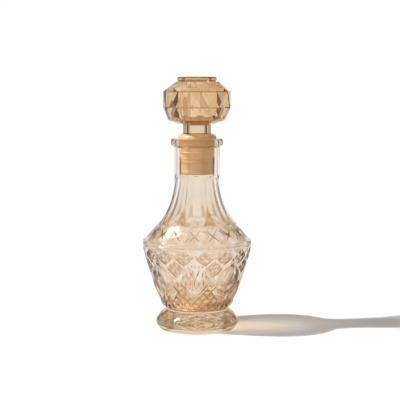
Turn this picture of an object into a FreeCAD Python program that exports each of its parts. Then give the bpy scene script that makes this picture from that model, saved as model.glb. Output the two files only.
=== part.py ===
import FreeCAD, Part
import math
import os

# Pressed-glass decanter with a faceted glass stopper in a ribbed plastic seal.
# Millimetres, +Z up, origin on the resting plane under the middle of the foot.
# The front of the cut pattern looks along -Y. Turns are degrees from there towards +X.

# ---- driving dimensions: foot and waist ----
FOOT_R = 41.2               # widest radius of the foot
FOOT_EDGE_H = 7.0           # height of that widest ring
FOOT_LOWER_H = 3.8          # height of the rounded rim below it
FOOT_UPPER_H = 3.6          # height of the rounded rim above it
FOOT_RIM_IN = 1.1           # how far in the rim's ends lie
FOOT_SAG = 0.6              # bulge of the foot's upper slope
FOOT_RING_R = 37.6          # outer radius of the flat ring the decanter stands on
FOOT_RING_W = 4.6           # width of that ring
PUNT_DEPTH = 3.0            # rise of the hollow under the foot
PUNT_FLAT_R = 5.0           # radius of the flat middle of that hollow
PUNT_SAG = 0.7              # bulge of the hollow's slope
WAIST_R = 31.6              # narrowest radius, between foot and body
WAIST_H = 20.4              # height of the waist
WAIST_HALF_H = 1.6          # half height of the waist's hollow
WAIST_SAG = 0.8             # depth of that hollow

# ---- driving dimensions: body and shoulder ----
BODY_BASE_R = 35.0          # radius where the cut side starts
BODY_BASE_UP = 3.6          # height of that start above the waist
BODY_H = 58.0               # height of the cut side
BODY_SAG = 1.7              # bulge of the side off a straight line
BODY_BANDS = 6              # straight bands that make up the side
SHOULDER_R = 54.4           # widest radius of the whole decanter
SHOULDER_SLOPE = 0.3        # how much narrower the upright band's lower end is
SHOULDER_BAND_H = 5.0       # height of the upright band
SHOULDER_EDGE_H = 3.0       # height of the rounded edge above it
SHOULDER_EDGE_W = 2.0       # width of that edge
SHOULDER_EDGE_SAG = 0.55    # bulge of that edge
CROSS_BAND_H = 16.0         # height of the shoulder's zone of crosses
CROSS_BANDS = 3             # straight bands that make up that zone
FLARE_H = 67.0              # height of the flare, from the edge to the straight neck

# ---- driving dimensions: neck, lip and cavity ----
BORE_R = 17.75              # inside radius of the neck
NECK_H = 24.0               # height of the straight neck
LIP_H = 8.3                 # height of the lip
LIP_PROUD = 3.5             # how far the lip stands out of the neck
LIP_LOW_H = 1.6             # height of the slope under the lip
LIP_LOW_IN = 0.8            # how far in the lip's lower edge lies
LIP_ROUND = 1.0             # how far in its top edge lies
WALL = 4.75                 # wall of neck, flare and shoulder, without the cut pattern
BASE_WALL = 8.0             # wall beside the cavity's floor
FLOOR_UP = 4.6              # height of the cavity's floor above the waist
FLOOR_ROUND = 9.0           # rounding between the cavity's floor and its side

# ---- driving dimensions: neck panels ----
PANELS = 8                  # panels round the neck
PANEL_TURN = -2.2           # turn of the front panel's middle
PANEL_DROP = 3.5            # where a panel fades out, below the straight neck
PANEL_FADE_H = 3.5          # height over which it fades
PANEL_DEPTH = 0.7           # depth at its top, below the straight neck's surface
PANEL_LOW_DEPTH = 1.4       # depth at its lower edge
PANEL_LEDGE_W = 3.0         # width of the ledge under a panel
PANEL_LEDGE_H = 1.2         # height of that ledge

# ---- driving dimensions: crosses and lozenges ----
PATTERN_TURN = -2.75        # turn of the front fan's middle
FANS = 4                    # repeats of fan and leaf round the body
CUT_MARGIN = 1.5            # height to which cutting tools stand proud of the glass
TIP_SINK = 0.15             # depth of pyramid tips below the uncut surface
CROSSES = 16                # crosses round the shoulder
CROSS_TOP_UP = 13.2         # upper ends of a cross's arms, above the shoulder's edge
CROSS_LOW_UP = 2.4          # lower ends
CROSS_TOP_HALF = 9.0        # half width of a cross at its top
CROSS_LOW_HALF = 6.5        # half width at its foot
CROSS_DEPTH = 1.1           # depth of a cross's cuts
PLATE_UP = 7.3              # middle of the flat plates between crosses, above the edge
PLATE_HALF = 7.5            # half width of such a plate
PLATE_RISE = 4.9            # its half height
PLATE_DEPTH = 0.6           # its depth
GEM_STEP = 11.25            # half width of a side lozenge's cell
GEM_TOP_DROP = 5.6          # middle of the upper lozenges, below the upright band
GEM_TOP_RISE = 8.2          # half height of an upper lozenge's cell
GEM_LOW_DROP = 16.3         # middle of the lower lozenges, below the upright band
GEM_LOW_RISE = 9.2          # half height of a lower lozenge's cell
GEM_LAND = 0.92             # share of its cell that a lozenge fills
GEM_CELLS = 2               # small pyramids along each side of a lozenge
GEM_BLUNT = 0.1             # share by which its four corners are drawn in
GEM_DEPTH = 1.1             # depth of the grooves in and round a lozenge

# ---- driving dimensions: hobnails, leaves and fans ----
HOBNAILS = 32               # pyramids round the body
HOBNAIL_DROP = 1.2          # lowest corners of the hobnails, below the side's start
HOBNAIL_STEP = 4.9          # height from one row of pyramids to the next
HOBNAIL_ROWS = 5            # rows at the highest peak
HOBNAIL_WHOLE = 2           # lowest rows, which run all the way round
HOBNAIL_DEPTH = 1.3         # depth of the grooves between pyramids
HOBNAIL_SLACK = 0.5         # turn by which a pyramid may reach into a leaf
APEX_UP = 10.0              # lowest point of the plain V under a fan, above the side's start
APEX_SLOPE = 1.0            # rise of the V's sides, mm per degree
LEAF_UP = 28.5              # middle of a leaf, above the side's start
LEAF_HALF_H = 17.0          # half height of a leaf
LEAF_HALF = 18.0            # half width of a leaf
LEAF_VEE = 0.05             # slope of a leaf's two faces towards its middle line
LEAF_TIP_UPS = (38.0, 52.5) # ends of the cut that gives a leaf its pointed tip
LEAF_TIP_DEPTH = 1.5        # depth of that cut
LEAF_TIP_HALF_W = 3.2       # its half width
STROKE_STEP = 5.3           # turn from one upright stroke of a fan to the next
STROKE_DEPTH = 0.8          # depth of a fan's strokes
BLADE_UPS = (24.4, 30.6)    # ends of the upright strokes
DOT_UPS = (20.8, 23.6)      # ends of the short strokes below and between those
FLAMES = (                  # (turn, height) ends of the slanted strokes above them
    ((1.2, 32.0), (6.0, 42.4)),
    ((8.6, 32.6), (9.8, 40.6)),
    ((13.6, 31.6), (13.4, 36.6)),
)
EDGING = ((2.8, 13.6), (19.0, 29.2))        # ends of the long cuts inside the V's sides

# ---- driving dimensions: seal ----
PLUG_GAP = 0.15             # clearance between the seal's ribs and the bore
PLUG_RIB = 0.5              # how far a rib stands out of the plug
PLUG_WALL = 3.15            # wall of the plug at its top
PLUG_DEEP = 34.9            # length of the plug below the lip
PLUG_COLLAR_H = 3.4         # height of the wide collar at the plug's foot
PLUG_CHAMFER = 0.6          # chamfer of that collar
PLUG_FLOOR = 2.0            # thickness of the plug's closed end
RIB_DROPS = (22.7, 19.1, 13.7, 8.1)     # middles of the ribs, below the lip's top
RIB_W = 1.5                 # height of one rib at its root
RIB_CREST = 0.5             # height of a rib's flat crest
FLANGE_LAP = 1.45           # how far the flange lies over the lip
FLANGE_T = 1.5              # thickness of the flange's edge
DOME_H = 4.9                # height of flange and dome above the lip
DOME_RIM = 0.7              # width of the dome's rim round the shank
DOME_SAG = 0.9              # bulge of the dome
PEG_GAP = 0.15              # clearance between peg and seal

# ---- driving dimensions: stopper ----
PEG_TAPER = 1.0             # how much narrower the peg's tip is than the shank
PEG_CHAMFER = 1.0           # chamfer round that tip
SHANK_H = 10.0              # height of the bare shank between seal and knob
SHANK_FILLET = 1.6          # fillet between shank and knob
KNOB_SIDES = 12             # repeats of the facets round the knob
KNOB_TURN = 5.8             # turn of the knob's front corner
KNOB_R = 33.3               # radius of the knob's corners
KNOB_UNDER_W = 5.2          # width of the flat underside round the shank
KNOB_TUCK = 4.9             # how much narrower the knob's lower edge is
PAVILION_H = 3.2            # height of the slanted ring under that edge
LOWER_H = 12.4              # height of the lower facets
GIRDLE_H = 15.8             # height of the girdle's triangles
CROWN_H = 9.6               # height of the crown's facets
CROWN_LEDGE = 2.0           # how much wider than the table the crown's top is
DISC_R = 19.6               # radius of the round table on top
DISC_H = 4.2                # height of that table
DISC_STEM_H = 0.6           # height of the narrower stem under it
DISC_STEM_IN = 1.0          # how much narrower that stem is
DISC_ROUND = 0.6            # rounding of the table's top edge
CORE_INSET = 2.0            # depth to which the turned core reaches into the facets

# ---- heights and radii that follow from them ----
BODY_BASE_H = WAIST_H + BODY_BASE_UP
SHOULDER_LOW_H = BODY_BASE_H + BODY_H
SHOULDER_TOP_H = SHOULDER_LOW_H + SHOULDER_BAND_H
EDGE_H = SHOULDER_TOP_H + SHOULDER_EDGE_H
EDGE_R = SHOULDER_R - SHOULDER_EDGE_W
CROSS_BAND_TOP_H = EDGE_H + CROSS_BAND_H
FLARE_TOP_H = EDGE_H + FLARE_H
NECK_TOP_H = FLARE_TOP_H + NECK_H
LIP_TOP_H = NECK_TOP_H + LIP_H
NECK_R = BORE_R + WALL
LIP_R = NECK_R + LIP_PROUD
FLARE_RHO = ((EDGE_R - NECK_R) ** 2 + FLARE_H ** 2) / (2 * (EDGE_R - NECK_R))
RIB_R = BORE_R - PLUG_GAP
PLUG_R = RIB_R - PLUG_RIB
SOCKET_R = PLUG_R - PLUG_WALL
SHANK_R = SOCKET_R - PEG_GAP
PLUG_LOW_H = LIP_TOP_H - PLUG_DEEP
SOCKET_LOW_H = PLUG_LOW_H + PLUG_FLOOR
SEAL_TOP_H = LIP_TOP_H + DOME_H
KNOB_UNDER_H = SEAL_TOP_H + SHANK_H
GIRDLE_LOW_H = KNOB_UNDER_H + PAVILION_H + LOWER_H
GIRDLE_TOP_H = GIRDLE_LOW_H + GIRDLE_H
CROWN_TOP_H = GIRDLE_TOP_H + CROWN_H
KNOB_TOP_H = CROWN_TOP_H + DISC_STEM_H + DISC_H

AXIS = FreeCAD.Vector(0, 0, 1)
ORIGIN = FreeCAD.Vector(0, 0, 0)
ROUND_MID = 1 - math.sqrt(0.5)      # middle of a quarter round, as a share of its radius


# ---- points, edges and solids ----

def at(radius, height, turn=0.0):
    """Point at a radius and a height, turned from the front (-Y) towards +X."""
    angle = math.radians(turn)
    return FreeCAD.Vector(radius * math.sin(angle), -radius * math.cos(angle), height)


def line(start, end):
    """Straight edge between two (radius, height) points."""
    return Part.LineSegment(at(*start), at(*end)).toShape()


def arc(start, middle, end):
    """Arc through three (radius, height) points."""
    return Part.Arc(at(*start), at(*middle), at(*end)).toShape()


def bulged(start, end, sag):
    """Arc whose middle stands off the chord by sag, outwards if positive."""
    run = end[0] - start[0]
    rise = end[1] - start[1]
    chord = math.hypot(run, rise)
    middle_r = (start[0] + end[0]) / 2 + sag * abs(rise) / chord
    middle_h = (start[1] + end[1]) / 2 - sag * run / chord * math.copysign(1, rise)
    return arc(start, (middle_r, middle_h), end)


def banded(radius_at, low, high, count):
    """Straight edges that follow a radius along equal bands of height."""
    heights = [low + (high - low) * k / count for k in range(count + 1)]
    points = [(radius_at(height), height) for height in heights]
    return [line(a, b) for a, b in zip(points, points[1:])]


def revolve(edges):
    """Solid of revolution about Z from the closed profile that the edges make."""
    face = Part.Face(Part.Wire(edges))
    return face.revolve(ORIGIN, AXIS, 360)


def polygon(corners):
    """Flat face through corners given in order."""
    return Part.Face(Part.makePolygon(list(corners) + [corners[0]]))


def closed_solid(faces):
    """Solid bounded by faces that meet edge to edge."""
    shell = Part.makeShell(faces)
    shell.sewShape()
    solid = Part.makeSolid(shell)
    if solid.Volume < 0:
        solid.reverse()
    return solid


# ---- bottle: turned form ----

def flare_radius(height, offset=0.0):
    """Radius of the neck's flare at a height, offset into the glass."""
    rho = FLARE_RHO + offset
    drop = FLARE_TOP_H - height
    return NECK_R + FLARE_RHO - math.sqrt(rho * rho - drop * drop)


def body_radius(height):
    """Radius of the uncut outside at a height, from the side's start to the neck."""
    if height >= EDGE_H:
        return flare_radius(height)
    if height > SHOULDER_LOW_H:
        return SHOULDER_R
    share = (height - BODY_BASE_H) / BODY_H
    straight = BODY_BASE_R + share * (SHOULDER_R - SHOULDER_SLOPE - BODY_BASE_R)
    return straight + 4 * BODY_SAG * share * (1 - share)


def outer_profile():
    """Edges of the bottle's outside, from the axis under the foot to the axis at the lip."""
    punt = (0.0, PUNT_DEPTH)
    punt_flat = (PUNT_FLAT_R, PUNT_DEPTH)
    ring_in = (FOOT_RING_R - FOOT_RING_W, 0.0)
    ring_out = (FOOT_RING_R, 0.0)
    rim_low = (FOOT_R - FOOT_RIM_IN, FOOT_EDGE_H - FOOT_LOWER_H)
    rim_high = (FOOT_R - FOOT_RIM_IN, FOOT_EDGE_H + FOOT_UPPER_H)
    waist_low = (WAIST_R + WAIST_SAG, WAIST_H - WAIST_HALF_H)
    waist_high = (WAIST_R + WAIST_SAG, WAIST_H + WAIST_HALF_H)
    band_low = (SHOULDER_R - SHOULDER_SLOPE, SHOULDER_LOW_H)
    band_high = (SHOULDER_R, SHOULDER_TOP_H)
    flare_low = (flare_radius(CROSS_BAND_TOP_H), CROSS_BAND_TOP_H)
    flare_mid_h = (CROSS_BAND_TOP_H + FLARE_TOP_H) / 2
    flare_mid = (flare_radius(flare_mid_h), flare_mid_h)
    flare_top = (NECK_R, FLARE_TOP_H)
    neck_top = (NECK_R, NECK_TOP_H)
    lip_low = (LIP_R - LIP_LOW_IN, NECK_TOP_H + LIP_LOW_H)
    lip_mid = (LIP_R, NECK_TOP_H + (LIP_LOW_H + LIP_H) / 2)
    lip_high = (LIP_R - LIP_ROUND, LIP_TOP_H)
    top = (0.0, LIP_TOP_H)
    return [
        line(punt, punt_flat),
        bulged(punt_flat, ring_in, PUNT_SAG),
        line(ring_in, ring_out),
        line(ring_out, rim_low),
        arc(rim_low, (FOOT_R, FOOT_EDGE_H), rim_high),
        bulged(rim_high, waist_low, FOOT_SAG),
        arc(waist_low, (WAIST_R, WAIST_H), waist_high),
        line(waist_high, (BODY_BASE_R, BODY_BASE_H)),
        *banded(body_radius, BODY_BASE_H, SHOULDER_LOW_H, BODY_BANDS),
        line(band_low, band_high),
        bulged(band_high, (EDGE_R, EDGE_H), SHOULDER_EDGE_SAG),
        *banded(flare_radius, EDGE_H, CROSS_BAND_TOP_H, CROSS_BANDS),
        arc(flare_low, flare_mid, flare_top),
        line(flare_top, neck_top),
        line(neck_top, lip_low),
        arc(lip_low, lip_mid, lip_high),
        line(lip_high, top),
        line(top, punt),
    ]


def cavity_profile():
    """Edges of the cavity, from the axis at its floor to the axis above the lip."""
    over_h = LIP_TOP_H + CUT_MARGIN
    floor_h = WAIST_H + FLOOR_UP
    side_low_h = floor_h + FLOOR_ROUND
    side_low = (body_radius(side_low_h) - BASE_WALL, side_low_h)
    floor_edge = (side_low[0] - FLOOR_ROUND, floor_h)
    corner = (side_low[0] - FLOOR_ROUND * ROUND_MID, floor_h + FLOOR_ROUND * ROUND_MID)
    side_top = (SHOULDER_R - WALL, SHOULDER_LOW_H)
    shoulder = (flare_radius(SHOULDER_TOP_H, WALL), SHOULDER_TOP_H)
    mid_h = (SHOULDER_TOP_H + FLARE_TOP_H) / 2
    bore_low = (BORE_R, FLARE_TOP_H)
    return [
        line((0.0, floor_h), floor_edge),
        arc(floor_edge, corner, side_low),
        bulged(side_low, side_top, BODY_SAG),
        bulged(side_top, shoulder, SHOULDER_EDGE_SAG),
        arc(shoulder, (flare_radius(mid_h, WALL), mid_h), bore_low),
        line(bore_low, (BORE_R, over_h)),
        line((BORE_R, over_h), (0.0, over_h)),
        line((0.0, over_h), (0.0, floor_h)),
    ]


def panel_cutter(turn):
    """Tool for one neck panel: its side profile, extruded across the panel."""
    low_h = CROSS_BAND_TOP_H
    low_r = flare_radius(low_h) - PANEL_LOW_DEPTH
    full_h = FLARE_TOP_H - PANEL_DROP - PANEL_FADE_H
    full_r = NECK_R - PANEL_DEPTH
    drop = full_h - low_h
    rho = ((low_r - full_r) ** 2 + drop ** 2) / (2 * (low_r - full_r))
    mid_r = full_r + rho - math.sqrt(rho ** 2 - drop ** 2 / 4)
    top_r = full_r + PANEL_DEPTH / PANEL_FADE_H * (FLARE_TOP_H - full_h)
    ledge = (low_r + PANEL_LEDGE_W, low_h - PANEL_LEDGE_H)
    reach = SHOULDER_R * 1.5
    section = Part.Face(Part.Wire([
        line((low_r, low_h), ledge),
        line(ledge, (reach, ledge[1])),
        line((reach, ledge[1]), (reach, FLARE_TOP_H)),
        line((reach, FLARE_TOP_H), (top_r, FLARE_TOP_H)),
        line((top_r, FLARE_TOP_H), (full_r, full_h)),
        arc((full_r, full_h), (mid_r, full_h - drop / 2), (low_r, low_h)),
    ]))
    section.translate(FreeCAD.Vector(-SHOULDER_R, 0, 0))
    tool = section.extrude(FreeCAD.Vector(2 * SHOULDER_R, 0, 0))
    tool.rotate(ORIGIN, AXIS, turn)
    return tool


# ---- bottle: cutting tools ----
# A spot is a (turn, height) place on the uncut outside.

def surface(spot):
    """Point of the uncut outside."""
    turn, height = spot
    return at(body_radius(height), height, turn)


def normal(spot):
    """Outward normal of the uncut outside."""
    turn, height = spot
    reach = 0.4
    slope = (body_radius(height + reach) - body_radius(height - reach)) / (2 * reach)
    return at(1.0, -slope, turn).normalize()


def mitre_cut(start, end, depth, half_width):
    """Tool for a straight V cut, pointed at both ends and deepest in its middle."""
    middle = ((start[0] + end[0]) / 2, (start[1] + end[1]) / 2)
    out = normal(middle)
    along = surface(end) - surface(start)
    side = along.cross(out).normalize()
    keel = [surface(start), surface(middle) - out * depth, surface(end)]
    level = surface(middle) + out * CUT_MARGIN
    left = []
    right = []
    for point in keel:
        lift = (level - point).dot(out)
        spread = side * (lift * half_width / depth)
        left.append(point + out * lift - spread)
        right.append(point + out * lift + spread)
    return closed_solid([
        polygon(right + left[::-1]),
        polygon([keel[0], left[0], left[1], keel[1]]),
        polygon([keel[1], left[1], left[2], keel[2]]),
        polygon([keel[0], keel[1], right[1], right[0]]),
        polygon([keel[1], keel[2], right[2], right[1]]),
        polygon([keel[0], right[0], left[0]]),
        polygon([keel[2], left[2], right[2]]),
    ])


def gem_cut(middle, half_turn, rise):
    """Tool that sinks a lozenge and leaves small pyramids standing side by side in it."""
    turn, height = middle
    out = normal(middle)

    def spot(i, j):
        scale = 1 - GEM_BLUNT if i in (0, GEM_CELLS) and j in (0, GEM_CELLS) else 1
        return (turn + half_turn * scale * (i - j) / GEM_CELLS,
                height + rise * scale * (i + j - GEM_CELLS) / GEM_CELLS)

    def sunk(i, j, depth):
        return surface(spot(i, j)) - out * depth

    faces = []
    for i in range(GEM_CELLS):
        for j in range(GEM_CELLS):
            tip = sunk(i + 0.5, j + 0.5, TIP_SINK)
            top = sunk(i + 0.5, j + 0.5, -CUT_MARGIN)
            corners = [(i, j), (i + 1, j), (i + 1, j + 1), (i, j + 1)]
            open_sides = [j == 0, i == GEM_CELLS - 1, j == GEM_CELLS - 1, i == 0]
            for k in range(4):
                here, after = corners[k], corners[(k + 1) % 4]
                low_a, low_b = sunk(*here, GEM_DEPTH), sunk(*after, GEM_DEPTH)
                high_a, high_b = sunk(*here, -CUT_MARGIN), sunk(*after, -CUT_MARGIN)
                faces.append(polygon([low_b, low_a, tip]))
                faces.append(polygon([high_a, high_b, top]))
                if open_sides[k]:
                    faces.append(polygon([low_a, low_b, high_b, high_a]))
    return closed_solid(faces)


def plate_cut(middle, half_turn, rise, depth):
    """Tool that grinds a flat lozenge."""
    turn, height = middle
    out = normal(middle)
    base = surface(middle) - out * depth
    corners = []
    for spot in ((turn + half_turn, height), (turn, height + rise),
                 (turn - half_turn, height), (turn, height - rise)):
        point = surface(spot)
        corners.append(point - out * (point - base).dot(out))
    return polygon(corners).extrude(out * (depth + CUT_MARGIN))


def leaf_half_turn(up):
    """Half width of a leaf at a height above the side's start, in degrees."""
    share = (up - LEAF_UP) / LEAF_HALF_H
    return LEAF_HALF * math.sqrt(max(0.0, 1 - share * share))


def has_hobnail(column, row):
    """Whether a pyramid stands at a lattice node: under the V's sides, clear of the leaves."""
    if (column + row) % 2 == 0 or row < 1 or row > HOBNAIL_ROWS:
        return False
    if row <= HOBNAIL_WHOLE:
        return True
    step = 180.0 / HOBNAILS
    period = 2 * HOBNAILS // FANS
    off = column % period
    turn = min(off, period - off) * step
    up = row * HOBNAIL_STEP - HOBNAIL_DROP
    top = up + HOBNAIL_STEP
    if up > APEX_UP + APEX_SLOPE * abs(turn - step):
        return False
    if turn < step:
        return False
    leaf_turn = 180.0 / FANS - turn
    clear_side = leaf_turn - step >= leaf_half_turn(up) - HOBNAIL_SLACK
    clear_top = leaf_turn >= leaf_half_turn(top) - HOBNAIL_SLACK
    return clear_side and clear_top


def lattice_point(column, row, depth):
    """Point at a node of the hobnails' lattice, sunk below the uncut outside."""
    turn = PATTERN_TURN + column * 180.0 / HOBNAILS
    spot = (turn, BODY_BASE_H - HOBNAIL_DROP + row * HOBNAIL_STEP)
    return surface(spot) - normal(spot) * depth


def hobnail_faces(column, row):
    """What one hobnail adds to the tool: its pyramid, the skin over it, walls at open sides."""
    corners = [(column + 1, row), (column, row + 1), (column - 1, row), (column, row - 1)]
    beyond = [(column + 1, row + 1), (column - 1, row + 1), (column - 1, row - 1),
              (column + 1, row - 1)]
    tip = lattice_point(column, row, TIP_SINK)
    top = lattice_point(column, row, -CUT_MARGIN)
    faces = []
    for k in range(4):
        low_a = lattice_point(*corners[k], HOBNAIL_DEPTH)
        low_b = lattice_point(*corners[(k + 1) % 4], HOBNAIL_DEPTH)
        high_a = lattice_point(*corners[k], -CUT_MARGIN)
        high_b = lattice_point(*corners[(k + 1) % 4], -CUT_MARGIN)
        faces.append(polygon([low_b, low_a, tip]))
        faces.append(polygon([high_a, high_b, top]))
        if not has_hobnail(*beyond[k]):
            faces.append(polygon([low_a, low_b, high_b]))
            faces.append(polygon([low_a, high_b, high_a]))
    return faces


def hobnail_cut():
    """One tool that leaves every hobnail standing in a common recess."""
    faces = []
    for row in range(1, HOBNAIL_ROWS + 1):
        for column in range(2 * HOBNAILS):
            if has_hobnail(column, row):
                faces += hobnail_faces(column, row)
    return closed_solid(faces)


def leaf_cut(turn):
    """Wheel with a blunt V edge, on a level axis, that cuts one plain leaf."""
    middle = (turn, BODY_BASE_H + LEAF_UP)
    radius = body_radius(middle[1])
    out = normal(middle)
    side = at(0.0, 1.0).cross(out).normalize()
    half = radius * math.radians(LEAF_HALF)
    depth = half * half / (2 * radius) + LEAF_VEE * half
    bulge = 4 * BODY_SAG * (LEAF_HALF_H / BODY_H) ** 2
    wheel_r = LEAF_HALF_H ** 2 / (2 * (depth - bulge))
    centre = surface(middle) + out * (wheel_r - depth)
    rim = centre - out * wheel_r
    reach = half * 1.6
    shoulder = out * (LEAF_VEE * reach)
    section = polygon([centre - side * reach, rim - side * reach + shoulder, rim,
                       rim + side * reach + shoulder, centre + side * reach])
    return section.revolve(centre, side, 360)


def shoulder_cuts():
    """Tools for the crosses on the shoulder and the flat plates between them."""
    step = 360.0 / CROSSES
    tools = []
    for k in range(CROSSES):
        turn = PATTERN_TURN + k * step
        for way in (-1, 1):
            start = (turn - way * CROSS_TOP_HALF, EDGE_H + CROSS_TOP_UP)
            end = (turn + way * CROSS_LOW_HALF, EDGE_H + CROSS_LOW_UP)
            tools.append(mitre_cut(start, end, CROSS_DEPTH, CROSS_DEPTH))
        middle = (turn + step / 2, EDGE_H + PLATE_UP)
        tools.append(plate_cut(middle, PLATE_HALF, PLATE_RISE, PLATE_DEPTH))
    return tools


def stroke(low, top, depth=STROKE_DEPTH, half_width=STROKE_DEPTH):
    """Tool for one stroke between two (turn, height above the side's start) places."""
    return mitre_cut((top[0], BODY_BASE_H + top[1]), (low[0], BODY_BASE_H + low[1]),
                     depth, half_width)


def fan_cuts(turn):
    """Tools for one fan: slanted flames, upright blades, dots and the long cuts beside them."""
    tools = []
    for way in (-1, 1):
        for low, top in FLAMES + (EDGING,):
            tools.append(stroke((turn + way * low[0], low[1]), (turn + way * top[0], top[1])))
        for k in (0.5, 1.5):
            place = turn + way * k * STROKE_STEP
            tools.append(stroke((place, DOT_UPS[0]), (place, DOT_UPS[1]), STROKE_DEPTH / 2))
    for k in range(-2, 3):
        place = turn + k * STROKE_STEP
        tools.append(stroke((place, BLADE_UPS[0]), (place, BLADE_UPS[1])))
    return tools


def leaf_cuts(turn):
    """Tools for one leaf: its broad hollow and its pointed tip."""
    low, top = ((turn, up) for up in LEAF_TIP_UPS)
    return [leaf_cut(turn), stroke(low, top, LEAF_TIP_DEPTH, LEAF_TIP_HALF_W)]


def side_gem_cut(turn, drop, rise):
    """Tool for one lozenge on the side, below the shoulder's upright band."""
    return gem_cut((turn, SHOULDER_LOW_H - drop), GEM_STEP * GEM_LAND, rise * GEM_LAND)


def gem_cuts(turn):
    """Tools for the lozenges beside one fan: four above and two below, mirrored about it."""
    tools = []
    for way in (-1, 1):
        for steps in (1, 3):
            tools.append(side_gem_cut(turn + way * steps * GEM_STEP, GEM_TOP_DROP, GEM_TOP_RISE))
        tools.append(side_gem_cut(turn + way * 2 * GEM_STEP, GEM_LOW_DROP, GEM_LOW_RISE))
    return tools


def pattern_cuts():
    """Every tool of the cut pattern."""
    tools = shoulder_cuts()
    tools.append(hobnail_cut())
    for k in range(FANS):
        turn = PATTERN_TURN + k * 360.0 / FANS
        tools += fan_cuts(turn)
        tools += gem_cuts(turn)
        tools += leaf_cuts(turn + 180.0 / FANS)
    return tools


def bottle():
    """The glass bottle: turned outside, neck panels, cut pattern, turned cavity."""
    glass = revolve(outer_profile())
    glass = glass.cut([panel_cutter(PANEL_TURN + k * 360.0 / PANELS) for k in range(PANELS)])
    glass = glass.cut(pattern_cuts())
    return glass.cut(revolve(cavity_profile()))


# ---- stopper ----

def ring(radius, height, turn):
    """Corners of a level polygon with the knob's number of sides."""
    return [at(radius, height, turn + k * 360.0 / KNOB_SIDES) for k in range(KNOB_SIDES)]


def knob():
    """Faceted knob: crown, girdle of split triangles, lower facets and flat underside."""
    half_step = 180.0 / KNOB_SIDES
    crown = ring(DISC_R + CROWN_LEDGE, CROWN_TOP_H, KNOB_TURN + half_step)
    high = ring(KNOB_R, GIRDLE_TOP_H, KNOB_TURN)
    low = ring(KNOB_R, GIRDLE_LOW_H, KNOB_TURN + half_step)
    split = ring(KNOB_R, GIRDLE_LOW_H, KNOB_TURN)
    edge = ring(KNOB_R - KNOB_TUCK, KNOB_UNDER_H + PAVILION_H, KNOB_TURN)
    under = ring(SHANK_R + KNOB_UNDER_W, KNOB_UNDER_H, KNOB_TURN)
    faces = [polygon(crown), polygon(under[::-1])]
    for k in range(KNOB_SIDES):
        after = (k + 1) % KNOB_SIDES
        faces.append(polygon([crown[k], high[k], high[after]]))
        faces.append(polygon([crown[k - 1], high[k], crown[k]]))
        faces.append(polygon([high[k], low[k], high[after]]))
        faces.append(polygon([high[k], low[k - 1], split[k]]))
        faces.append(polygon([high[k], split[k], low[k]]))
        faces.append(polygon([split[k], low[k - 1], edge[k]]))
        faces.append(polygon([split[k], edge[k], low[k]]))
        faces.append(polygon([low[k], edge[k], edge[after]]))
        faces.append(polygon([edge[k], under[k], under[after], edge[after]]))
    return closed_solid(faces)


def turned_core():
    """Round table, core, shank and peg of the stopper, as one turned solid."""
    tip_r = SHANK_R - PEG_TAPER
    stem_r = DISC_R - DISC_STEM_IN
    disc_low_h = CROWN_TOP_H + DISC_STEM_H
    shank_top_h = KNOB_UNDER_H - SHANK_FILLET
    fillet_mid = SHANK_FILLET * ROUND_MID
    return revolve([
        line((0.0, SOCKET_LOW_H), (tip_r - PEG_CHAMFER, SOCKET_LOW_H)),
        line((tip_r - PEG_CHAMFER, SOCKET_LOW_H), (tip_r, SOCKET_LOW_H + PEG_CHAMFER)),
        line((tip_r, SOCKET_LOW_H + PEG_CHAMFER), (SHANK_R, SEAL_TOP_H)),
        line((SHANK_R, SEAL_TOP_H), (SHANK_R, shank_top_h)),
        arc((SHANK_R, shank_top_h), (SHANK_R + fillet_mid, KNOB_UNDER_H - fillet_mid),
            (SHANK_R + SHANK_FILLET, KNOB_UNDER_H)),
        line((SHANK_R + SHANK_FILLET, KNOB_UNDER_H), (SHANK_R, KNOB_UNDER_H + CORE_INSET)),
        line((SHANK_R, KNOB_UNDER_H + CORE_INSET), (stem_r, CROWN_TOP_H - CORE_INSET)),
        line((stem_r, CROWN_TOP_H - CORE_INSET), (stem_r, disc_low_h)),
        arc((stem_r, disc_low_h), (DISC_R, disc_low_h + DISC_H / 2),
            (DISC_R - DISC_ROUND, KNOB_TOP_H)),
        line((DISC_R - DISC_ROUND, KNOB_TOP_H), (0.0, KNOB_TOP_H)),
        line((0.0, KNOB_TOP_H), (0.0, SOCKET_LOW_H)),
    ])


def stopper():
    """The glass stopper in one piece."""
    return knob().fuse(turned_core())


# ---- seal ----

def plug_side():
    """Edges of the plug's ribbed side, from its foot up to the underside of the flange."""
    collar_h = PLUG_LOW_H + PLUG_COLLAR_H
    height = collar_h + PLUG_RIB
    edges = [
        line((RIB_R - PLUG_CHAMFER, PLUG_LOW_H), (RIB_R, PLUG_LOW_H + PLUG_CHAMFER)),
        line((RIB_R, PLUG_LOW_H + PLUG_CHAMFER), (RIB_R, collar_h)),
        line((RIB_R, collar_h), (PLUG_R, height)),
    ]
    for rib_drop in RIB_DROPS:
        rib_h = LIP_TOP_H - rib_drop
        crest_low = (RIB_R, rib_h - RIB_CREST / 2)
        crest_high = (RIB_R, rib_h + RIB_CREST / 2)
        edges.append(line((PLUG_R, height), (PLUG_R, rib_h - RIB_W / 2)))
        edges.append(line((PLUG_R, rib_h - RIB_W / 2), crest_low))
        edges.append(line(crest_low, crest_high))
        height = rib_h + RIB_W / 2
        edges.append(line(crest_high, (PLUG_R, height)))
    edges.append(line((PLUG_R, height), (PLUG_R, LIP_TOP_H)))
    return edges


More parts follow.
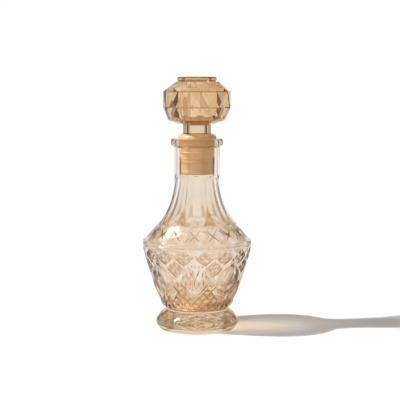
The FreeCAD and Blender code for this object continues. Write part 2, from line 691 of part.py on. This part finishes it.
def socket():
    """Tapered hole for the stopper's peg, open at the top of the dome."""
    tip_r = SOCKET_R - PEG_TAPER
    over_h = SEAL_TOP_H + CUT_MARGIN
    return revolve([
        line((0.0, SOCKET_LOW_H), (tip_r, SOCKET_LOW_H)),
        line((tip_r, SOCKET_LOW_H), (tip_r, SOCKET_LOW_H + PEG_CHAMFER)),
        line((tip_r, SOCKET_LOW_H + PEG_CHAMFER), (SOCKET_R, SEAL_TOP_H)),
        line((SOCKET_R, SEAL_TOP_H), (SOCKET_R, over_h)),
        line((SOCKET_R, over_h), (0.0, over_h)),
        line((0.0, over_h), (0.0, SOCKET_LOW_H)),
    ])


def seal():
    """Plastic seal: ribbed plug in the bore, flange on the lip, dome round the shank."""
    flange_r = BORE_R + FLANGE_LAP
    flange_top = (flange_r, LIP_TOP_H + FLANGE_T)
    rim = (SOCKET_R + DOME_RIM, SEAL_TOP_H)
    outside = revolve([
        line((0.0, PLUG_LOW_H), (RIB_R - PLUG_CHAMFER, PLUG_LOW_H)),
        *plug_side(),
        line((PLUG_R, LIP_TOP_H), (flange_r, LIP_TOP_H)),
        line((flange_r, LIP_TOP_H), flange_top),
        bulged(flange_top, rim, DOME_SAG),
        line(rim, (0.0, SEAL_TOP_H)),
        line((0.0, SEAL_TOP_H), (0.0, PLUG_LOW_H)),
    ])
    return outside.cut(socket())


def main():
    os.makedirs("parts", exist_ok=True)
    for name, make in (("bottle", bottle), ("stopper", stopper), ("seal", seal)):
        shape = make()
        if shape.ShapeType == "Compound" and len(shape.Solids) == 1:
            shape = shape.Solids[0]
        shape.exportStep("parts/" + name + ".step")
        print(name, shape.isValid(), len(shape.Solids), round(shape.Volume / 1000.0, 2), "cm3")


main()
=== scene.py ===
import math
import bpy
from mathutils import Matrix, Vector


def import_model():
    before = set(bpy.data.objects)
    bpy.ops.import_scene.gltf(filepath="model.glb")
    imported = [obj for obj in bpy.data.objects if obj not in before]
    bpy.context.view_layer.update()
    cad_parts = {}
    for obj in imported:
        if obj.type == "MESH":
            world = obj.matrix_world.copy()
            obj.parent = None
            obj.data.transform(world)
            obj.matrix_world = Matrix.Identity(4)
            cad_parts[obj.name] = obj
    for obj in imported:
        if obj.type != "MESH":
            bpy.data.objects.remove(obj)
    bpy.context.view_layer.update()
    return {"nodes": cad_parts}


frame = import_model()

scene = bpy.context.scene
scene.view_settings.view_transform = "Standard"

MM = 0.001
WHITE = (1.0, 1.0, 1.0)

# ---- sizes of the decanter, in mm ----

FOOT = ((0.0, 37.6), (6.0, 40.0), (18.0, 32.4), (20.4, 31.6))      # height and radius, up to the waist
SIDE_LOW_H = 24.0        # lower end of the body's cut side
SIDE_H = 58.0            # height of that side
SIDE_BANDS = 6           # straight bands that make it up
SIDE_LOW_R = 35.0        # radius at its lower end
SIDE_WIDENING = 19.1     # how much wider its upper end is
SIDE_BULGE = 6.8         # four times its bulge off a straight line
RIM = ((87.0, 54.4), (90.0, 52.4))      # height and radius of the shoulder's edge
FLARE_LOW_H, FLARE_LOW_R = RIM[-1]
CROSS_BAND_H = 16.0      # height of the zone of crosses above that edge
CROSS_BANDS = 3          # straight bands that make it up
PANEL_LOW_H = FLARE_LOW_H + CROSS_BAND_H
PANEL_BANDS = 8          # steps in which the flare above it is followed
NECK_LOW_H = 157.0       # where the flare ends in the straight neck
NECK_R = 22.5            # radius of that neck
LIP = ((181.0, 22.5), (182.6, 25.2), (189.3, 26.0))      # height and radius
GIRDLE_TOP_H = 235.6     # upper line round the knob's girdle

# ---- heights where a look is 0 and where it is 1, in mm ----

PUNT_FADE = (4.0, 3.5)                # down into the hollow under the foot
RING_FADE = (6.5, 5.5)                # down into the ring round that hollow
CAVITY_FADE = (20.0, 21.0)            # above it, deep glass is the cavity's wall
LOW_SHADE_FADE = (34.0, 22.0)         # down to where more lamp light gets through
LOW_WALL_FADE = (52.0, 40.0)          # down to the paler wall behind the hobnails
LOW_BLUR_FADE = (60.0, 45.0)          # down to the rougher wall there
SIDE_CUTS_FADE = (43.0, 45.0)         # from the hobnails up to the other cuts
SHOULDER_CUTS_FADE = (89.0, 90.0)     # up to the crosses and plates
SHOULDER_BLUR_FADE = (84.0, 92.0)     # up to the rougher wall behind them
BODY_FADE = (95.0, 88.0)              # down to the body
PANELS_FADE = (PANEL_LOW_H, PANEL_LOW_H + 1.0)      # up to the neck's panels
WEDGE_REFLECTIONS_FADE = (124.0, 118.0)          # down to the painted reflections, wedges between the panels
NECK_WALL_FADE = (118.0, 124.0)       # up to the wall with painted shade at its sides
NECK_BLUR_FADE = (120.0, 135.0)       # up to the smoother wall
BAR_SHADE_FADES = ((153.0, 155.0), (174.0, 170.0))        # the painted shade bars beside the seal
LIP_FADE = (180.0, 182.0)             # up to the lip
DOME_FADE = (189.5, 190.5)            # up to the seal's dome
SHANK_SHADE_BAR_FADE = (205.0, 203.0)       # down to the stopper's shank, where its painted shade bars are
FACETS_FADE = (203.0, 205.0)          # up to the knob's facets
KNOB_FADE = (205.0, 206.0)            # up to the knob
LOWER_KNOB_FADE = (216.0, 210.0)      # down to the knob's paler lower part
CROWN_FADE = (234.0, 236.0)           # up to the knob's crown

# ---- depths under the uncut outside, in the same way, in mm ----

RING_DEPTH = (4.5, 3.5)               # shallow enough for the ring
PUNT_DEPTH = (4.5, 5.5)               # deep enough for the hollow under the foot
WALL_DEPTH = (3.3, 3.6)               # deep enough for the cavity's wall
WEDGE_REFLECTION_DEPTH = (0.7, 0.4)              # shallow enough for a painted reflection wedge, between the panels
PUNT_REACH = (34.0, 31.0)             # radius of the uneven part of that hollow

# ---- facing, 0 seen straight on and 1 from the side, in the same way, where shade is painted ----

BODY_SIDE_SHADE = (0.45, 0.80)
OUTLINE_SHADE = (0.80, 1.0)
BORE_SHADE_BARS = ((0.18, 0.195), (0.30, 0.28))
KNOB_SIDE_SHADE = (0.45, 0.85)
SHANK_SHADE_BARS = ((0.12, 0.17), (0.30, 0.25))

# ---- edges, undersides and roughness ----

EDGES = (0.5, 0.985)                  # bevel in mm, and the match of normals where the mask is 1
KNOB_EDGES = (1.4, 0.99)
UNDERSIDE_SHADE_TILT = (-0.35, -0.7)        # height of the normal where the painted shade on undersides is 0 and 1
IN_CUT = (0.02, 0.1)                  # share of the deepest recess where a cut is 0 and 1
SIDE_CUTS_GAIN = 2.6                  # how much faster the tint builds up above the hobnails
WALL_BLUR = 0.11                      # roughness of the cavity's wall
MOST_WALL_BLUR = 0.16                 # at the hobnails and the shoulder
NECK_WALL_BLUR = 0.05
PUNT_BLUR = 0.04                      # roughness of the hollow under the foot

# ---- tints of the glass and the seal ----

PALE = (0.98, 0.95, 0.91)
ROSY = (0.95, 0.90, 0.88)
# painted shade on the downward faces of the cuts
UNDERSIDE_SHADE = (0.80, 0.60, 0.37)
# painted reflection: amber wedges between the neck's panels
WEDGE_REFLECTION = (0.60, 0.38, 0.17)
RING = (0.88, 0.92, 0.99)
PUNT = (0.96, 0.78, 0.54)
# painted shade at the body's sides and outline
SIDE_SHADE_BROWN = (0.93, 0.71, 0.51)
OUTLINE_SHADE_BROWN = (0.48, 0.35, 0.25)
# painted shade along the sharp edges of the cuts
EDGE_SHADE_BROWN = (0.36, 0.22, 0.11)
# painted shade bars beside the seal's plug
BAR_SHADE_BROWN = (0.10, 0.06, 0.03)
BODY_WALL = (0.84, 0.76, 0.665)
LOW_WALL = (0.98, 0.93, 0.85)
SHANK = (0.80, 0.71, 0.58)
# painted shade bars in the shank
SHANK_SHADE_BAR_BROWN = (0.22, 0.12, 0.04)
CROWN = (0.76, 0.67, 0.62)
LOWER_KNOB = (1.0, 0.97, 0.93)
# painted shade at the knob's sides
KNOB_SIDE_SHADE_BROWN = (0.66, 0.50, 0.37)
# painted shade along the knob's edges
KNOB_EDGE_SHADE_BROWN = (0.26, 0.14, 0.05)
GIRDLE_BROWN = (0.24, 0.13, 0.05)
LOW_SHADE = (0.86, 0.78, 0.68)
GLASS_BODY = (0.77, 0.52, 0.13)       # colour of the glass itself, by absorption
SEAL_AMBER = (0.90, 0.64, 0.33)
SEAL_BROWN = (0.80, 0.53, 0.24)
DOME_BROWN = (0.66, 0.43, 0.19)
SEAL_SHADE = (0.42, 0.28, 0.14)

# share of the deepest recess, and the tint there: golden painted shade in the cuts, with a dark painted line
# partway down
DEEPEST = 4.0
CUT_SHADE_TINTS = (
    (0.0, WHITE), (0.06, (0.99, 0.96, 0.91)), (0.16, (0.95, 0.83, 0.64)),
    (0.24, (0.80, 0.60, 0.36)), (0.28, (0.38, 0.22, 0.09)), (0.34, (0.40, 0.24, 0.10)),
    (0.40, (0.90, 0.73, 0.49)), (0.6, (0.93, 0.80, 0.60)), (0.8, (0.98, 0.92, 0.83)))

# heights where a zone is 0 and 1 from below, the same from above, and its tint
ZONE_TINTS = (
    ((5.0, 8.0), (17.0, 14.0), (0.82, 0.72, 0.60)),        # foot
    ((20.5, 21.5), (32.0, 26.0), (0.86, 0.83, 0.84)))      # base of the body, darkened as painted shade

# facing (0 seen straight on, 1 from the side), and the tint there
# the lip's tint, darker towards its sides as painted shade
LIP_SHADE_TINTS = ((0.0, (0.93, 0.84, 0.71)), (0.15, (0.82, 0.73, 0.61)), (0.4, (0.54, 0.44, 0.35)))
# the dark end is painted shade at the wall's sides
WALL_TINTS_AND_SHADE = ((0.0, (0.84, 0.765, 0.675)), (0.8, (0.83, 0.74, 0.64)), (0.92, (0.16, 0.10, 0.06)))
SHADOW_TINTS = ((0.0, (0.52, 0.49, 0.46)), (0.5, (0.40, 0.38, 0.36)), (0.9, (0.10, 0.09, 0.08)))

# noise over the facets' directions, and the tint there
FACET_TINTS = ((0.36, (0.58, 0.38, 0.22)), (0.45, (0.88, 0.68, 0.43)), (0.53, (0.97, 0.85, 0.72)),
               (0.60, (1.0, 0.97, 0.95)))


# ---- node helpers ----

class Graph:
    """Node tree of a material or world, with short calls for its nodes."""

    def __init__(self, tree, output):
        self.tree = tree
        self.tree.nodes.clear()
        self.output = tree.nodes.new(output)

    def add(self, kind, values=None, **settings):
        node = self.tree.nodes.new("ShaderNode" + kind)
        for name, value in settings.items():
            setattr(node, name, value)
        for key, value in (values or {}).items():
            self.put(node.inputs[key], value)
        return node

    def put(self, socket, value):
        """Link a node or socket, or set a number, or a colour of three numbers."""
        if isinstance(value, bpy.types.Node):
            value = value.outputs[0]
        if isinstance(value, bpy.types.NodeSocket):
            self.tree.links.new(value, socket)
        elif isinstance(value, tuple):
            socket.default_value = (*value, 1.0)
        else:
            socket.default_value = value

    def surface(self, shader):
        self.put(self.output.inputs["Surface"], shader)

    def math(self, operation, *values):
        return self.add("Math", dict(enumerate(values)), operation=operation)

    def product(self, first, *others):
        for other in others:
            first = self.math("MULTIPLY", first, other)
        return first

    def remap(self, value, low, high, to_low=0.0, to_high=1.0):
        places = {"Value": value, "From Min": low, "From Max": high, "To Min": to_low, "To Max": to_high}
        return self.add("MapRange", places)

    def between(self, value, rise, fall):
        """1 between two slopes, each given as where it is 0 and where it is 1."""
        return self.product(self.remap(value, *rise), self.remap(value, *fall))

    def ramp(self, value, stops):
        """Colour or grey ramp through (place, value) stops."""
        node = self.add("ValToRGB", {0: value})
        elements = node.color_ramp.elements
        while len(elements) < len(stops):
            elements.new(0.5)
        for element, (place, colour) in zip(elements, stops):
            element.position = place
            element.color = (*colour, 1) if isinstance(colour, tuple) else (colour,) * 3 + (1,)
        return node

    def mix(self, factor, first, second, blend="MIX"):
        node = self.add("Mix", {0: factor, 6: first, 7: second}, data_type="RGBA", blend_type=blend)
        return node.outputs[2]

    def facing(self):
        """0 where the surface is seen straight on, up to 1 at its outline."""
        return self.add("LayerWeight", {"Blend": 0.5}).outputs["Facing"]

    def normal(self):
        return self.add("NewGeometry").outputs["Normal"]

    def light_path(self, kind):
        return self.add("LightPath").outputs[kind]

    def indirect(self):
        """1 for the rays that glass and metal reflect or let through."""
        return self.math("MAXIMUM", self.light_path("Is Glossy Ray"), self.light_path("Is Transmission Ray"))


def material_graph(name):
    material = bpy.data.materials.new(name)
    material.use_nodes = True
    return material, Graph(material.node_tree, "ShaderNodeOutputMaterial")


def place_in_mm(g, coords):
    """Radius off the axis and height above the base, in mm."""
    scaled = g.add("VectorMath", {0: coords, "Scale": 1.0 / MM}, operation="SCALE")
    x, y, z = g.add("SeparateXYZ", {0: scaled}).outputs
    radius = g.math("SQRT", g.math("ADD", g.math("POWER", x, 2.0), g.math("POWER", y, 2.0)))
    return radius, z


def edge_mask(g, radius, keen):
    """1 along the sharp edges of the mesh, 0 on its faces. A higher keen marks blunter edges."""
    rounded = g.add("Bevel", {"Radius": radius * MM})
    rounded.samples = 4
    match = g.add("VectorMath", {0: rounded, 1: g.normal()}, operation="DOT_PRODUCT").outputs["Value"]
    return g.remap(match, 0.9995, keen)


# ---- depth of the cuts ----

def side_radius(share):
    """Radius of the body's side, at a share 0 to 1 of its height, in mm."""
    return SIDE_LOW_R + SIDE_WIDENING * share + SIDE_BULGE * share * (1.0 - share)


def flare_radius(height):
    """Radius of the arc from the shoulder's edge up to the neck, in mm."""
    rise = NECK_LOW_H - FLARE_LOW_H
    run = FLARE_LOW_R - NECK_R
    arc = (run ** 2 + rise ** 2) / (2.0 * run)
    return NECK_R + arc - math.sqrt(arc ** 2 - (NECK_LOW_H - height) ** 2)


def outside_profile():
    """Heights and radii of the bottle's uncut outside, in mm."""
    shares = [k / SIDE_BANDS for k in range(SIDE_BANDS + 1)]
    side = [(SIDE_LOW_H + SIDE_H * share, side_radius(share)) for share in shares]
    panel_h = NECK_LOW_H - PANEL_LOW_H
    heights = [FLARE_LOW_H + CROSS_BAND_H * k / CROSS_BANDS for k in range(1, CROSS_BANDS + 1)]
    heights += [PANEL_LOW_H + panel_h * k / PANEL_BANDS for k in range(1, PANEL_BANDS + 1)]
    flare = [(height, flare_radius(height)) for height in heights]
    return [*FOOT, *side, *RIM, *flare, *LIP]


def recess(g, coords):
    """How deep a point of the bottle lies under its uncut outside, and its height, in mm."""
    top, wide = 200.0, 60.0
    radius, z = place_in_mm(g, coords)
    stops = [(height / top, outside / wide) for height, outside in outside_profile()]
    outside = g.product(g.ramp(g.math("DIVIDE", z, top), stops), wide)
    return g.math("SUBTRACT", outside, radius), z


# ---- glass ----

def cut_shade_tint(g, depth, z, pale):
    """Pale on the lands, with painted shade in the cuts: golden, with a brown line partway down, and darker
    on undersides.
    """
    # the cuts above the hobnails are shallower, so their tint builds up faster
    on_side = g.remap(z, *SIDE_CUTS_FADE, 1.0, SIDE_CUTS_GAIN)
    on_shoulder = g.remap(z, *SHOULDER_CUTS_FADE)
    scaled = g.math("DIVIDE", g.product(depth, g.math("ADD", on_side, on_shoulder)), DEEPEST)
    tilt = g.add("SeparateXYZ", {0: g.normal()}).outputs["Z"]
    # painted shade: faces in the cuts that point down are darker
    underside_shade = g.product(g.remap(tilt, *UNDERSIDE_SHADE_TILT), g.remap(scaled, *IN_CUT))
    cut = g.mix(underside_shade, g.ramp(scaled, CUT_SHADE_TINTS), UNDERSIDE_SHADE)
    return g.mix(1.0, pale, cut, "MULTIPLY")


def outside_tint(g, depth, z, hollow):
    """Tint of the bottle's outer surface, with painted shade and painted reflections on it."""
    cloud = g.add("TexNoise", {"Vector": g.add("TexCoord").outputs["Object"], "Scale": 28.0, "Detail": 2.0})
    pale = g.mix(g.remap(cloud, 0.35, 0.65), PALE, ROSY)
    # painted reflection: amber wedges low between the neck's panels
    wedge_reflection = g.product(g.remap(depth, *WEDGE_REFLECTION_DEPTH), g.remap(z, *WEDGE_REFLECTIONS_FADE))
    neck = g.mix(wedge_reflection, pale, WEDGE_REFLECTION)
    tint = g.mix(g.remap(z, *PANELS_FADE), cut_shade_tint(g, depth, z, pale), neck)
    # painted shade along the sharp edges
    tint = g.mix(g.product(edge_mask(g, *EDGES), 0.65), tint, EDGE_SHADE_BROWN)
    # the foot's tint, and painted shade at the base of the body
    for rise, fall, zone in ZONE_TINTS:
        tint = g.mix(g.between(z, rise, fall), tint, zone, "MULTIPLY")
    ring = g.product(g.remap(z, *RING_FADE), g.remap(depth, *RING_DEPTH))
    tint = g.mix(ring, tint, RING, "MULTIPLY")
    tint = g.mix(hollow, tint, PUNT)
    facing = g.facing()
    # painted shade at the lip's sides
    tint = g.mix(g.remap(z, *LIP_FADE), tint, g.ramp(facing, LIP_SHADE_TINTS), "MULTIPLY")
    # painted shade: the body browner at its sides and darkest at its outline
    body_side_shade = g.product(g.remap(facing, *BODY_SIDE_SHADE), g.remap(z, *BODY_FADE))
    tint = g.mix(body_side_shade, tint, SIDE_SHADE_BROWN, "MULTIPLY")
    return g.mix(g.remap(facing, *OUTLINE_SHADE), tint, OUTLINE_SHADE_BROWN)


def wall_tint(g, z):
    """Tint of the cavity's wall, with painted shade: dark at its sides in the neck, and a dark bar at each
    side of the seal's plug.
    """
    facing = g.facing()
    wall = g.mix(g.remap(z, *NECK_WALL_FADE), BODY_WALL, g.ramp(facing, WALL_TINTS_AND_SHADE))
    wall = g.mix(g.remap(z, *LOW_WALL_FADE), wall, LOW_WALL)
    # painted shade bars
    shade_bar = g.product(g.between(facing, *BORE_SHADE_BARS), g.between(z, *BAR_SHADE_FADES))
    return g.mix(shade_bar, wall, BAR_SHADE_BROWN)


def wall_roughness(g, z):
    """The wall blurs the pattern of the far side, most at the hobnails and the shoulder."""
    low = g.remap(z, *LOW_BLUR_FADE, 0.0, WALL_BLUR)
    high = g.remap(z, *SHOULDER_BLUR_FADE, WALL_BLUR, MOST_WALL_BLUR)
    neck = g.remap(z, *NECK_BLUR_FADE, MOST_WALL_BLUR, NECK_WALL_BLUR)
    return g.math("MINIMUM", g.math("ADD", high, low), neck)


def bottle_finish(g, coords):
    depth, z = recess(g, coords)
    hollow = g.product(g.remap(z, *PUNT_FADE), g.remap(depth, *PUNT_DEPTH))
    inside = g.product(g.remap(depth, *WALL_DEPTH), g.remap(z, *CAVITY_FADE))
    tint = g.mix(inside, outside_tint(g, depth, z, hollow), wall_tint(g, z))
    roughness = g.math("MAXIMUM", g.product(inside, wall_roughness(g, z)), g.product(hollow, PUNT_BLUR))
    return tint, roughness


def stopper_finish(g, coords):
    """Each facet of the knob has its own depth of amber; its edges, its sides and the bars in its shank are
    brown as painted shade.
    """
    z = place_in_mm(g, coords)[1]
    facet = g.add("TexNoise", {"Vector": g.normal(), "Scale": 3.1, "Detail": 3.0, "Roughness": 0.8})
    tint = g.mix(g.remap(z, *FACETS_FADE), SHANK, g.ramp(facet, FACET_TINTS))
    tint = g.mix(g.remap(z, *CROWN_FADE), tint, CROWN, "MULTIPLY")
    on_knob = g.remap(z, *KNOB_FADE)
    tint = g.mix(g.product(g.remap(z, *LOWER_KNOB_FADE, 0.0, 0.7), on_knob), tint, LOWER_KNOB)
    facing = g.facing()
    # painted shade: the knob browner at its sides
    tint = g.mix(g.product(g.remap(facing, *KNOB_SIDE_SHADE), on_knob), tint, KNOB_SIDE_SHADE_BROWN, "MULTIPLY")
    # painted shade bars at the shank's sides
    shade_bar = g.product(g.between(facing, *SHANK_SHADE_BARS), g.remap(z, *SHANK_SHADE_BAR_FADE))
    tint = g.mix(shade_bar, tint, SHANK_SHADE_BAR_BROWN)
    from_girdle = g.math("ABSOLUTE", g.math("SUBTRACT", z, GIRDLE_TOP_H))
    tint = g.mix(g.remap(from_girdle, 0.9, 0.5, 0.0, 0.8), tint, GIRDLE_BROWN)
    # painted shade along the knob's edges
    tint = g.mix(g.product(edge_mask(g, *KNOB_EDGES), 0.9), tint, KNOB_EDGE_SHADE_BROWN)
    return tint, g.remap(facet, 0.45, 0.75, 0.0, 0.03)


def under_foot(g, coords):
    """Uneven pressed glass in the hollow under the foot, 0 elsewhere."""
    radius, z = place_in_mm(g, coords)
    dents = g.add("TexNoise", {"Vector": coords, "Scale": 150.0, "Detail": 2.0})
    return g.product(dents, g.remap(z, *PUNT_FADE), g.remap(radius, *PUNT_REACH))


def lamp_shade(g, coords):
    """Clear shader for lamp light: grey and darkest at the sides, and a pale amber low down."""
    z = place_in_mm(g, coords)[1]
    shade = g.mix(g.remap(z, *LOW_SHADE_FADE), g.ramp(g.facing(), SHADOW_TINTS), LOW_SHADE)
    return g.add("BsdfTransparent", {"Color": shade})


def lit_through(g, surface, clear):
    """A surface that lamps shine through by a clear shader."""
    g.surface(g.add("MixShader", {0: g.light_path("Is Shadow Ray"), 1: surface, 2: clear}))


def glass(name, finish, density):
    """Amber glass: finish(g, coords) gives its tint and roughness, and lamps shine through it."""
    material, g = material_graph(name)
    coords = g.add("TexCoord").outputs["Object"]
    tint, roughness = finish(g, coords)
    ripple = g.add("TexNoise", {"Vector": coords, "Scale": 70.0, "Detail": 1.0})
    bump = g.add("Bump", {"Height": ripple, "Strength": 0.25, "Distance": 0.4 * MM})
    bump = g.add("Bump", {
        "Height": under_foot(g, coords), "Strength": 1.0, "Distance": 4.0 * MM, "Normal": bump})
    surface = g.add("BsdfPrincipled", {
        "Base Color": tint, "Roughness": roughness, "IOR": 1.5, "Transmission Weight": 1.0, "Normal": bump})
    lit_through(g, surface, lamp_shade(g, coords))
    volume = g.add("VolumeAbsorption", {"Color": GLASS_BODY, "Density": density})
    g.put(g.output.inputs["Volume"], volume)
    return material


# ---- seal ----

def seal_plastic():
    """Clouded amber plastic, deeper in colour on the dome above the lip."""
    material, g = material_graph("seal_plastic_look")
    coords = g.add("TexCoord").outputs["Object"]
    cloud = g.add("TexNoise", {"Vector": coords, "Scale": 90.0, "Detail": 3.0})
    z = place_in_mm(g, coords)[1]
    colour = g.mix(cloud, SEAL_AMBER, SEAL_BROWN)
    colour = g.mix(g.remap(z, *DOME_FADE), colour, DOME_BROWN)
    bump = g.add("Bump", {"Height": cloud, "Strength": 0.2, "Distance": 0.3 * MM})
    surface = g.add("BsdfPrincipled", {
        "Base Color": colour, "Roughness": g.remap(cloud, 0.3, 0.7, 0.28, 0.42), "IOR": 1.48, "Normal": bump})
    lit_through(g, surface, g.add("BsdfTransparent", {"Color": SEAL_SHADE}))
    return material


def dress():
    looks = {
        "bottle": glass("bottle_glass_look", bottle_finish, 9.0),
        "stopper": glass("stopper_glass_look", stopper_finish, 14.0),
        "seal": seal_plastic(),
    }
    for node, material in looks.items():
        mesh = frame["nodes"][node].data
        mesh.materials.clear()
        mesh.materials.append(material)


dress()


# ---- floor ----

def floor():
    """White sheet that fades into the white background, and keeps the shadow."""
    reach = 0.8
    sides = 96
    glow = 0.05
    mesh = bpy.data.meshes.new("floor")
    turns = [2 * math.pi * k / sides for k in range(sides)]
    mesh.from_pydata([(reach * math.cos(a), reach * math.sin(a), 0) for a in turns], [], [list(range(sides))])
    sheet = bpy.data.objects.new("floor", mesh)
    scene.collection.objects.link(sheet)
    sheet.location.z = -0.1 * MM
    material, g = material_graph("floor_paper")
    paper = g.add("BsdfPrincipled", {
        "Base Color": (0.8, 0.8, 0.8), "Roughness": 1.0, "Specular IOR Level": 0.0})
    seen = g.math("MAXIMUM", g.light_path("Is Camera Ray"), g.indirect())
    light = g.add("Emission", {"Color": WHITE, "Strength": g.product(seen, glow)})
    g.surface(g.add("AddShader", {0: paper, 1: light}))
    mesh.materials.append(material)


floor()


# ---- world and lamps ----

DIM = (0.62, 0.42, 0.24)
DARK = (0.18, 0.095, 0.035)
AMBIENT = 0.16           # light on the floor
WINDOW_WAY = Vector((-0.6, -0.05, 0.8)).normalized()
WINDOW_RIM = 7.0         # radius of the window's soft rim, in degrees
WINDOW_CLEAR = 4.0       # radius inside that rim
WINDOW_LIGHT = 10.0

# brightness over the sine of the elevation
UPWARDS = ((0.0, 1.0), (0.28, 1.0), (0.34, DIM), (0.60, DIM), (0.70, 1.0))
# brightness over the turn from behind the decanter, in degrees
ROUND_ABOUT = (
    (0, 1.0), (27, 1.0), (28.5, DARK), (35, DARK), (37, 1.0), (62, 1.0), (66, DIM), (76, DIM), (82, 0.95),
    (120, (0.90, 0.84, 0.76)), (135, (0.60, 0.46, 0.33)))


def background(g, colour, strength=1.0):
    return g.add("Background", {"Color": colour, "Strength": strength})


def walls(g, direction):
    """White walls, dim in a band high up, with strips at the sides, and warm behind the camera."""
    way = g.add("SeparateXYZ", {0: direction}).outputs
    turn = g.math("ABSOLUTE", g.math("ARCTAN2", way["X"], way["Y"]))
    stops = [(place / 180.0, value) for place, value in ROUND_ABOUT]
    round_about = g.ramp(g.math("DIVIDE", turn, math.pi), stops)
    return background(g, g.mix(1.0, g.ramp(way["Z"], UPWARDS), round_about, "MULTIPLY"))


def window(g, direction):
    """Bright round window with a soft rim."""
    near = g.add("VectorMath", {0: direction, 1: WINDOW_WAY}, operation="DOT_PRODUCT").outputs["Value"]
    rim = math.cos(math.radians(WINDOW_RIM))
    clear = math.cos(math.radians(WINDOW_CLEAR))
    return background(g, WHITE, g.remap(near, rim, clear, 0.0, WINDOW_LIGHT))


def world():
    """White for the camera, a plain dim light on the floor, and a room for the glass to show."""
    sky = bpy.data.worlds.new("studio")
    scene.world = sky
    sky.use_nodes = True
    g = Graph(sky.node_tree, "ShaderNodeOutputWorld")
    direction = g.add("TexCoord").outputs["Generated"]
    room = g.add("AddShader", {0: walls(g, direction), 1: window(g, direction)})
    unseen = g.add("MixShader", {0: g.indirect(), 1: background(g, WHITE, AMBIENT), 2: room})
    g.surface(g.add("MixShader", {0: g.light_path("Is Camera Ray"), 1: unseen, 2: background(g, WHITE)}))


world()


def sun(name, azimuth, elevation, strength, size):
    """Lamp that shines from an azimuth (0 from the camera, 90 from the left) and elevation."""
    data = bpy.data.lights.new(name, "SUN")
    data.energy = strength
    data.angle = math.radians(size)
    lamp = bpy.data.objects.new(name, data)
    scene.collection.objects.link(lamp)
    a = math.radians(azimuth)
    e = math.radians(elevation)
    source = Vector((-math.sin(a) * math.cos(e), -math.cos(a) * math.cos(e), math.sin(e)))
    lamp.rotation_mode = "QUATERNION"
    lamp.rotation_quaternion = (-source).to_track_quat("-Z", "Y")


sun("key", azimuth=84.2, elevation=45.0, strength=4.3, size=2.0)
sun("fill", azimuth=5.0, elevation=30.0, strength=1.1, size=90.0)


# ---- camera ----

CAMERA_PLACE = (0.003, -1.090, 0.239)
CAMERA_DOWN = 5.81       # how far it looks down, in degrees

camera_data = bpy.data.cameras.new("camera")
camera_data.lens = 99.0
camera_data.sensor_width = 36.0
camera_data.clip_end = 100.0
camera = bpy.data.objects.new("camera", camera_data)
scene.collection.objects.link(camera)
camera.location = CAMERA_PLACE
camera.rotation_euler = (math.radians(90.0 - CAMERA_DOWN), 0.0, 0.0)
scene.camera = camera
